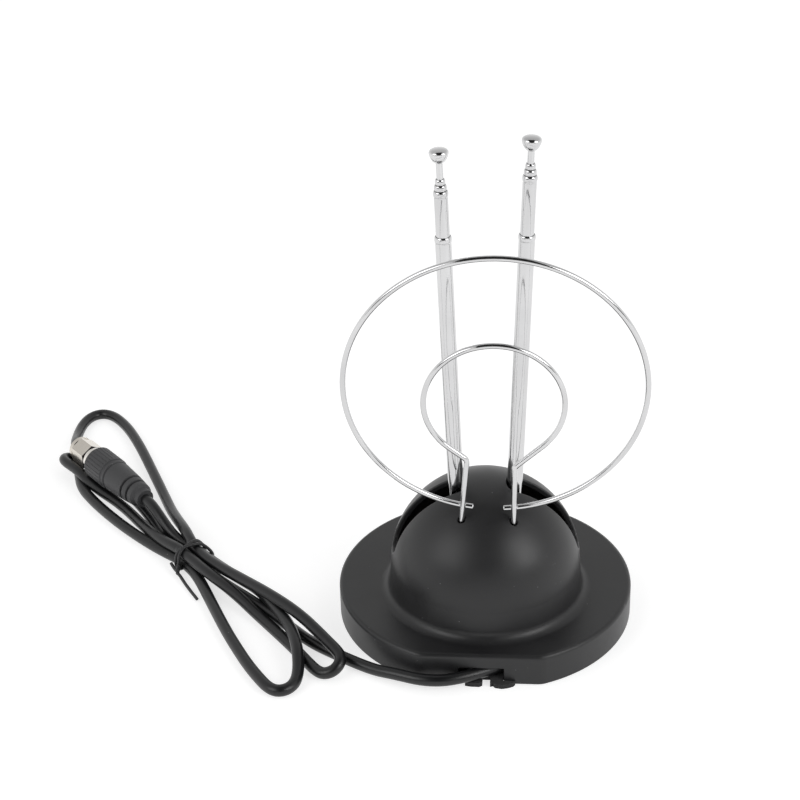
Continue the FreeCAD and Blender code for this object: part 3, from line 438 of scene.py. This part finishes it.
def addRange(tree, value, low, high, toLow=0.0, toHigh=1.0):
    node = tree.nodes.new("ShaderNodeMapRange")
    node.interpolation_type = "SMOOTHSTEP"
    tree.links.new(value, node.inputs["Value"])
    for label, number in (("From Min", low), ("From Max", high), ("To Min", toLow), ("To Max", toHigh)):
        node.inputs[label].default_value = number
    return node.outputs["Result"]


# Surface wear: grain height, cloudy value, fine scuffs and dust specks
wearPlan = {
    "cloud": (38.0, 0.3, 0.7),           # scale, then where it starts and ends
    "streakTurn": (0.4, 0.7, 0.9),
    "streakStretch": (0.12, 1.0, 1.0),
    "streaks": (0.66, 0.74),
    "patches": (60.0, 0.5, 0.68),
    "speckSize": (0.05, 0.11),
    "speckChance": (0.93, 0.95),
}
wearGroup, wearIn, wearOut = newGroup(
    "surfaceWear",
    [("Grain Scale", "NodeSocketFloat", 2500.0), ("Stretch", "NodeSocketVector", (1, 1, 1)),
     ("Scuff Scale", "NodeSocketFloat", 260.0), ("Dust Scale", "NodeSocketFloat", 420.0)],
    [("Grain", "NodeSocketFloat"), ("Cloud", "NodeSocketFloat"), ("Scuff", "NodeSocketFloat"),
     ("Dust", "NodeSocketFloat")])
coords = wearGroup.nodes.new("ShaderNodeTexCoord")
stretch = wearGroup.nodes.new("ShaderNodeVectorMath")
stretch.operation = "MULTIPLY"
wearGroup.links.new(coords.outputs["Object"], stretch.inputs[0])
wearGroup.links.new(wearIn.outputs["Stretch"], stretch.inputs[1])
stretched = stretch.outputs["Vector"]
grain = addNoise(wearGroup, stretched, wearIn.outputs["Grain Scale"], detail=2.0)
wearGroup.links.new(grain, wearOut.inputs["Grain"])
cloudScale, cloudLow, cloudHigh = wearPlan["cloud"]
cloud = addNoise(wearGroup, coords.outputs["Object"], cloudScale, detail=4.0)
wearGroup.links.new(addRange(wearGroup, cloud, cloudLow, cloudHigh), wearOut.inputs["Cloud"])
lean = wearGroup.nodes.new("ShaderNodeMapping")
lean.inputs["Rotation"].default_value = wearPlan["streakTurn"]
lean.inputs["Scale"].default_value = wearPlan["streakStretch"]
wearGroup.links.new(coords.outputs["Object"], lean.inputs["Vector"])
streaks = addNoise(wearGroup, lean.outputs["Vector"], wearIn.outputs["Scuff Scale"], roughness=0.65)
patchScale, patchLow, patchHigh = wearPlan["patches"]
patches = addNoise(wearGroup, coords.outputs["Object"], patchScale, detail=2.0)
patches = addRange(wearGroup, patches, patchLow, patchHigh)
thin = addRange(wearGroup, streaks, *wearPlan["streaks"])
wearGroup.links.new(addMath(wearGroup, "MULTIPLY", thin, patches), wearOut.inputs["Scuff"])
specks = wearGroup.nodes.new("ShaderNodeTexVoronoi")
specks.feature = "F1"
wearGroup.links.new(coords.outputs["Object"], specks.inputs["Vector"])
wearGroup.links.new(wearIn.outputs["Dust Scale"], specks.inputs["Scale"])
near = addRange(wearGroup, specks.outputs["Distance"], *wearPlan["speckSize"], toLow=1.0, toHigh=0.0)
chance = wearGroup.nodes.new("ShaderNodeSeparateColor")
wearGroup.links.new(specks.outputs["Color"], chance.inputs["Color"])
few = addRange(wearGroup, chance.outputs["Red"], *wearPlan["speckChance"])
wearGroup.links.new(addMath(wearGroup, "MULTIPLY", near, few), wearOut.inputs["Dust"])

# Edge wear: worn, paler edges and a softened normal
edgePlan = {"samples": 6, "facing": (0.72, 0.99), "chips": (420.0, 0.4, 0.62)}
edgeGroup, edgeIn, edgeOut = newGroup(
    "edgeWear",
    [("Radius", "NodeSocketFloat", 0.0005)],
    [("Edge", "NodeSocketFloat"), ("Normal", "NodeSocketVector")])
softEdge = edgeGroup.nodes.new("ShaderNodeBevel")
softEdge.samples = edgePlan["samples"]
edgeGroup.links.new(edgeIn.outputs["Radius"], softEdge.inputs["Radius"])
sharp = edgeGroup.nodes.new("ShaderNodeNewGeometry")
facing = edgeGroup.nodes.new("ShaderNodeVectorMath")
facing.operation = "DOT_PRODUCT"
edgeGroup.links.new(softEdge.outputs["Normal"], facing.inputs[0])
edgeGroup.links.new(sharp.outputs["Normal"], facing.inputs[1])
edgeMask = addRange(edgeGroup, facing.outputs["Value"], *edgePlan["facing"], toLow=1.0, toHigh=0.0)
edgeCoords = edgeGroup.nodes.new("ShaderNodeTexCoord")
chipScale, chipLow, chipHigh = edgePlan["chips"]
chips = addNoise(edgeGroup, edgeCoords.outputs["Object"], chipScale)
chips = addRange(edgeGroup, chips, chipLow, chipHigh)
edgeGroup.links.new(addMath(edgeGroup, "MULTIPLY", edgeMask, chips), edgeOut.inputs["Edge"])
edgeGroup.links.new(softEdge.outputs["Normal"], edgeOut.inputs["Normal"])


# The mix node's colour sockets, which share their names with its other kinds
mixColours = (6, 7)
mixResult = 2
scuffRough = 0.12   # scuffs are this much rougher


def addMix(tree, factor, first, second):
    node = tree.nodes.new("ShaderNodeMix")
    node.data_type = "RGBA"
    tree.links.new(factor, node.inputs["Factor"])
    for place, value in zip(mixColours, (first, second)):
        if isinstance(value, tuple):
            node.inputs[place].default_value = (*value, 1)
        else:
            tree.links.new(value, node.inputs[place])
    return node.outputs[mixResult]


def makeFinish(name, plan):
    # one finish: cloudy colour, dust, worn edges, uneven roughness and grain
    material = bpy.data.materials.new(name)
    material.use_nodes = True
    tree = material.node_tree
    shader = tree.nodes["Principled BSDF"]
    for label, value in plan.get("fixed", {}).items():
        shader.inputs[label].default_value = value
    wear = tree.nodes.new("ShaderNodeGroup")
    wear.node_tree = wearGroup
    wear.inputs["Grain Scale"].default_value = plan["grain"][0]
    if "stretch" in plan:
        wear.inputs["Stretch"].default_value = plan["stretch"]
    if "scuffScale" in plan:
        wear.inputs["Scuff Scale"].default_value = plan["scuffScale"]
    colour = addMix(tree, wear.outputs["Cloud"], plan["colour"], plan["tint"])
    if "scuff" in plan:
        amount = addMath(tree, "MULTIPLY", wear.outputs["Scuff"], plan["scuff"][0])
        colour = addMix(tree, amount, colour, plan["scuff"][1])
    if "dust" in plan:
        amount = addMath(tree, "MULTIPLY", wear.outputs["Dust"], plan["dust"][0])
        colour = addMix(tree, amount, colour, plan["dust"][1])
    normal = None
    if "edge" in plan:
        edge = tree.nodes.new("ShaderNodeGroup")
        edge.node_tree = edgeGroup
        edge.inputs["Radius"].default_value = plan["edge"][0]
        amount = addMath(tree, "MULTIPLY", edge.outputs["Edge"], plan["edge"][1])
        colour = addMix(tree, amount, colour, plan["edge"][2])
        normal = edge.outputs["Normal"]
    if "paintedGapShade" in plan:   # painted shade: a dark band at one end stands for the shaded gap between parts, measured along the piece's axis
        axis, low, high, dark = plan["paintedGapShade"]
        place = tree.nodes.new("ShaderNodeTexCoord")
        along = tree.nodes.new("ShaderNodeVectorMath")
        along.operation = "DOT_PRODUCT"
        along.inputs[1].default_value = axis
        tree.links.new(place.outputs["Object"], along.inputs[0])
        colour = addMix(tree, addRange(tree, along.outputs["Value"], low, high), dark, colour)
    tree.links.new(colour, shader.inputs["Base Color"])
    low, high = plan["rough"]
    rough = addRange(tree, wear.outputs["Cloud"], 0.0, 1.0, low, high)
    dulled = addMath(tree, "MULTIPLY", wear.outputs["Scuff"], scuffRough)
    tree.links.new(addMath(tree, "ADD", rough, dulled, clamp=True), shader.inputs["Roughness"])
    bump = tree.nodes.new("ShaderNodeBump")
    bump.inputs["Strength"].default_value = plan["grain"][1]
    bump.inputs["Distance"].default_value = plan["grain"][2]
    tree.links.new(wear.outputs["Grain"], bump.inputs["Height"])
    if normal is not None:
        tree.links.new(normal, bump.inputs["Normal"])
    tree.links.new(bump.outputs["Normal"], shader.inputs["Normal"])
    return material


def dress(material, *names):
    for name in names:
        piece = nodes.get(name) or bpy.data.objects[name]
        if not piece.material_slots:
            piece.data.materials.append(material)
        for slot in piece.material_slots:
            slot.material = material


# Each finish: rough is low and high, grain is scale, strength and depth, scuff and dust are amount and
# colour, edge is radius, amount and colour, the painted gap shade is axis, start, end and colour, and fixed
# goes on the shader's own sockets
greyDust = (0.34, 0.34, 0.35)
finishPlans = {
    "blackShell": {"colour": (0.0105, 0.0105, 0.0112), "tint": (0.0138, 0.0138, 0.0147),
                   "rough": (0.37, 0.44), "grain": (2600, 0.12, 0.0002),
                   "scuff": (0.35, (0.07, 0.07, 0.072)), "dust": (0.35, greyDust),
                   "edge": (0.0006, 0.25, (0.06, 0.06, 0.062)), "fixed": {"IOR": 1.5}},
    "foamPad": {"colour": (0.022, 0.022, 0.023), "tint": (0.04, 0.04, 0.041), "rough": (0.8, 0.95),
                "grain": (1500, 0.7, 0.0006), "dust": (0.8, greyDust)},
    "cableJacket": {"colour": (0.005, 0.0052, 0.0058), "tint": (0.008, 0.0083, 0.009),
                    "rough": (0.3, 0.38), "grain": (1800, 0.1, 0.0002),
                    "scuff": (0.3, (0.06, 0.06, 0.062)), "dust": (0.5, greyDust), "fixed": {"IOR": 1.5}},
    "tieJacket": {"colour": (0.016, 0.016, 0.017), "tint": (0.03, 0.03, 0.031), "rough": (0.4, 0.55),
                  "grain": (2400, 0.25, 0.0002), "scuff": (0.5, (0.09, 0.09, 0.09))},
    "bootRubber": {"colour": (0.043, 0.043, 0.0455), "tint": (0.053, 0.053, 0.0555),
                   "rough": (0.48, 0.58), "grain": (2200, 0.2, 0.0002), "dust": (0.5, greyDust),
                   "edge": (0.0004, 0.2, (0.06, 0.06, 0.062))},
    "chromeTube": {"colour": (0.6, 0.6, 0.605), "tint": (0.66, 0.66, 0.665), "rough": (0.07, 0.11),
                   "grain": (900, 0.03, 0.0002), "stretch": (1, 1, 0.05), "scuff": (0.25, (0.5, 0.5, 0.51)),
                   "scuffScale": 380.0, "fixed": {"Metallic": 1.0}},
    "chromeWire": {"colour": (0.6, 0.6, 0.605), "tint": (0.66, 0.66, 0.665), "rough": (0.06, 0.1),
                   "grain": (1200, 0.04, 0.0002), "scuff": (0.3, (0.48, 0.48, 0.49)),
                   "fixed": {"Metallic": 1.0}},
    "nickelPlate": {"colour": (0.8, 0.77, 0.72), "tint": (0.86, 0.83, 0.79), "rough": (0.14, 0.2),
                    "grain": (1600, 0.08, 0.0002), "scuff": (0.4, (0.6, 0.57, 0.53)),
                    "edge": (0.0002, 0.6, (0.9, 0.88, 0.84)), "fixed": {"Metallic": 1.0}},
    # painted shade: the nut's back end is darkened to stand for the shaded gap between nut and ferrule
    "nutPlate": {"colour": (0.66, 0.62, 0.56), "tint": (0.76, 0.72, 0.66), "rough": (0.14, 0.2),
                 "grain": (1600, 0.08, 0.0002), "scuff": (0.4, (0.55, 0.52, 0.48)),
                 "paintedGapShade": (hankAxis, 0.19, 0.1903, (0.03, 0.029, 0.028)), "fixed": {"Metallic": 1.0}},
    "innerMoulding": {"colour": (0.014, 0.014, 0.015), "tint": (0.02, 0.02, 0.021), "rough": (0.5, 0.6),
                      "grain": (2000, 0.15, 0.0002), "dust": (0.6, greyDust)},
    "zincPlate": {"colour": (0.55, 0.55, 0.56), "tint": (0.62, 0.62, 0.64), "rough": (0.3, 0.42),
                  "grain": (700, 0.1, 0.0002), "stretch": (1, 0.08, 1), "scuff": (0.5, (0.4, 0.4, 0.41)),
                  "fixed": {"Metallic": 1.0}},
    "screwSteel": {"colour": (0.5, 0.5, 0.52), "tint": (0.6, 0.6, 0.62), "rough": (0.25, 0.36),
                   "grain": (1500, 0.1, 0.0002), "scuff": (0.5, (0.36, 0.36, 0.37)),
                   "edge": (0.0002, 0.5, (0.75, 0.75, 0.76)), "fixed": {"Metallic": 1.0}},
    "brassTurned": {"colour": (0.62, 0.45, 0.2), "tint": (0.7, 0.52, 0.25), "rough": (0.22, 0.34),
                    "grain": (1500, 0.1, 0.0002), "scuff": (0.5, (0.42, 0.3, 0.14)),
                    "fixed": {"Metallic": 1.0}},
    "balunBoard": {"colour": (0.25, 0.16, 0.07), "tint": (0.31, 0.2, 0.09), "rough": (0.45, 0.6),
                   "grain": (2200, 0.25, 0.0002), "dust": (0.6, greyDust)},
    "ferriteCore": {"colour": (0.045, 0.043, 0.042), "tint": (0.065, 0.062, 0.06), "rough": (0.6, 0.75),
                    "grain": (3000, 0.35, 0.0002)},
    "fibreWasher": {"colour": (0.3, 0.09, 0.05), "tint": (0.38, 0.12, 0.06), "rough": (0.6, 0.75),
                    "grain": (2400, 0.4, 0.0002), "stretch": (1, 0.2, 1)},
    "hookupWire": {"colour": (0.45, 0.05, 0.04), "tint": (0.52, 0.07, 0.05), "rough": (0.35, 0.45),
                   "grain": (2000, 0.1, 0.0002)},
    "paleCore": {"colour": (0.78, 0.77, 0.73), "tint": (0.84, 0.83, 0.8), "rough": (0.4, 0.5),
                 "grain": (2000, 0.15, 0.0002)},
}
finishes = {name: makeFinish(name, plan) for name, plan in finishPlans.items()}
dress(finishes["blackShell"], "base_shell")
dress(finishes["foamPad"], "bottom_pad")
dress(finishes["cableJacket"], "coaxCable")
dress(finishes["tieJacket"], "twistTie")
dress(finishes["bootRubber"], "plug_boot")
dress(finishes["nickelPlate"], "plug_ferrule")
dress(finishes["nutPlate"], "plug_nut")
dress(finishes["chromeWire"], "outer_loop", "inner_loop", "leftWireEnd", "rightWireEnd")
dress(finishes["innerMoulding"], "inner_frame", "cable_clip")
dress(finishes["zincPlate"], "ballast_plate")
dress(finishes["screwSteel"], "plate_screws", "board_screws", "clip_screw")
dress(finishes["balunBoard"], "balun_board")
dress(finishes["ferriteCore"], "balun_core")
dress(finishes["paleCore"], "plug_core", "coax_tail")
dress(finishes["brassTurned"], "plug_pin")
for side in ("left", "right"):
    tubes = [side + "Tube%d" % number for number in range(1, 5)]
    dress(finishes["chromeTube"], side + "TipRod", side + "TipCap", *tubes)
    dress(finishes["brassTurned"], side + "_ear_knuckle", side + "_solder_tag", side + "_loop_socket")
    dress(finishes["screwSteel"], side + "_pivot_screw", side + "_pivot_nut")
    dress(finishes["fibreWasher"], side + "_friction_washer")
    dress(finishes["hookupWire"], side + "_ear_wire", side + "_loop_wire")
print("finishes made:", len(finishes))


# Studio: pale floor, white surroundings, two soft boxes, dark cards round the camera
studioPlan = {
    "floorSize": 24.0,
    "floorColour": 0.5,
    "floorGlow": 0.7,
    "aim": (0, 0, 0.05),
    "cardColour": 0.02,
    "cardRough": 0.9,
    # height of the line of sight, and brightness
    "sky": [(0.0, 1.0), (0.12, 0.97), (0.35, 0.84), (0.5, 0.74), (0.65, 0.66), (0.8, 0.6), (1.0, 0.58)],
    "boxes": [
        {"turn": 52, "rise": 30, "away": 1.1, "size": (0.5, 0.62), "power": 4.1},
        {"turn": -56, "rise": 32, "away": 1.2, "size": (0.62, 0.7), "power": 3.0},
    ],
    "cards": [
        {"turn": 1, "rise": 55, "away": 0.9, "size": (0.74, 1.76)},
        {"turn": -43, "rise": 8, "away": 1.0, "size": (0.72, 0.25)},
        {"turn": 43, "rise": 8, "away": 1.0, "size": (0.72, 0.25)},
    ],
}


def lightPathMask(tree):
    path = tree.nodes.new("ShaderNodeLightPath")
    seen = addMath(tree, "ADD", path.outputs["Is Camera Ray"], path.outputs["Is Glossy Ray"], clamp=True)
    return addMath(tree, "ADD", seen, path.outputs["Is Transmission Ray"], clamp=True)


world = bpy.data.worlds.new("studioWorld")
world.use_nodes = True
scene.world = world
worldTree = world.node_tree
background = worldTree.nodes["Background"]
direction = worldTree.nodes.new("ShaderNodeTexCoord")
height = worldTree.nodes.new("ShaderNodeSeparateXYZ")
worldTree.links.new(direction.outputs["Generated"], height.inputs["Vector"])
sky = worldTree.nodes.new("ShaderNodeValToRGB")
while len(sky.color_ramp.elements) < len(studioPlan["sky"]):
    sky.color_ramp.elements.new(0.5)
for stop, (position, level) in zip(sky.color_ramp.elements, studioPlan["sky"]):
    stop.position = position
    stop.color = (level, level, level, 1)
worldTree.links.new(height.outputs["Z"], sky.inputs["Fac"])
worldTree.links.new(sky.outputs["Color"], background.inputs["Color"])

clearSelection()
bpy.ops.mesh.primitive_plane_add(size=studioPlan["floorSize"], location=(0, 0, 0))
floor = bpy.context.object
floor.name = "studioFloor"
floorMaterial = bpy.data.materials.new("floorPaper")
floorMaterial.use_nodes = True
floorTree = floorMaterial.node_tree
floorTree.nodes.remove(floorTree.nodes["Principled BSDF"])
paper = floorTree.nodes.new("ShaderNodeBsdfDiffuse")
paper.inputs["Color"].default_value = (studioPlan["floorColour"],) * 3 + (1,)
glow = floorTree.nodes.new("ShaderNodeEmission")
floorTree.links.new(addMath(floorTree, "MULTIPLY", lightPathMask(floorTree), studioPlan["floorGlow"]),
                    glow.inputs["Strength"])
both = floorTree.nodes.new("ShaderNodeAddShader")
floorTree.links.new(paper.outputs[0], both.inputs[0])
floorTree.links.new(glow.outputs[0], both.inputs[1])
floorTree.links.new(both.outputs[0], floorTree.nodes["Material Output"].inputs["Surface"])
floor.data.materials.append(floorMaterial)


def aimedAt(plan):
    # turn and rise in degrees as seen from the aim, away in metres
    side, up = math.radians(plan["turn"]), math.radians(plan["rise"])
    outward = Vector((math.sin(side) * math.cos(up), -math.cos(side) * math.cos(up), math.sin(up)))
    place = Matrix.Translation(Vector(studioPlan["aim"]) + outward * plan["away"])
    return place @ outward.to_track_quat("Z", "Y").to_matrix().to_4x4()


for number, plan in enumerate(studioPlan["boxes"]):
    lamp = bpy.data.lights.new("softBox%d" % number, "AREA")
    lamp.shape = "RECTANGLE"
    lamp.size, lamp.size_y = plan["size"]
    lamp.energy = plan["power"]
    lampObject = bpy.data.objects.new(lamp.name, lamp)
    lampObject.matrix_world = aimedAt(plan)
    scene.collection.objects.link(lampObject)

cardMaterial = bpy.data.materials.new("darkFelt")
cardMaterial.use_nodes = True
felt = cardMaterial.node_tree.nodes["Principled BSDF"]
felt.inputs["Base Color"].default_value = (studioPlan["cardColour"],) * 3 + (1,)
felt.inputs["Roughness"].default_value = studioPlan["cardRough"]
for number, plan in enumerate(studioPlan["cards"]):
    clearSelection()
    bpy.ops.mesh.primitive_plane_add(size=1)
    card = bpy.context.object
    card.name = "darkCard%d" % number
    card.matrix_world = aimedAt(plan) @ Matrix.Diagonal((*plan["size"], 1, 1))
    card.data.materials.append(cardMaterial)
    card.visible_camera = False
    card.visible_shadow = False
print("studio set")

bpy.context.view_layer.update()
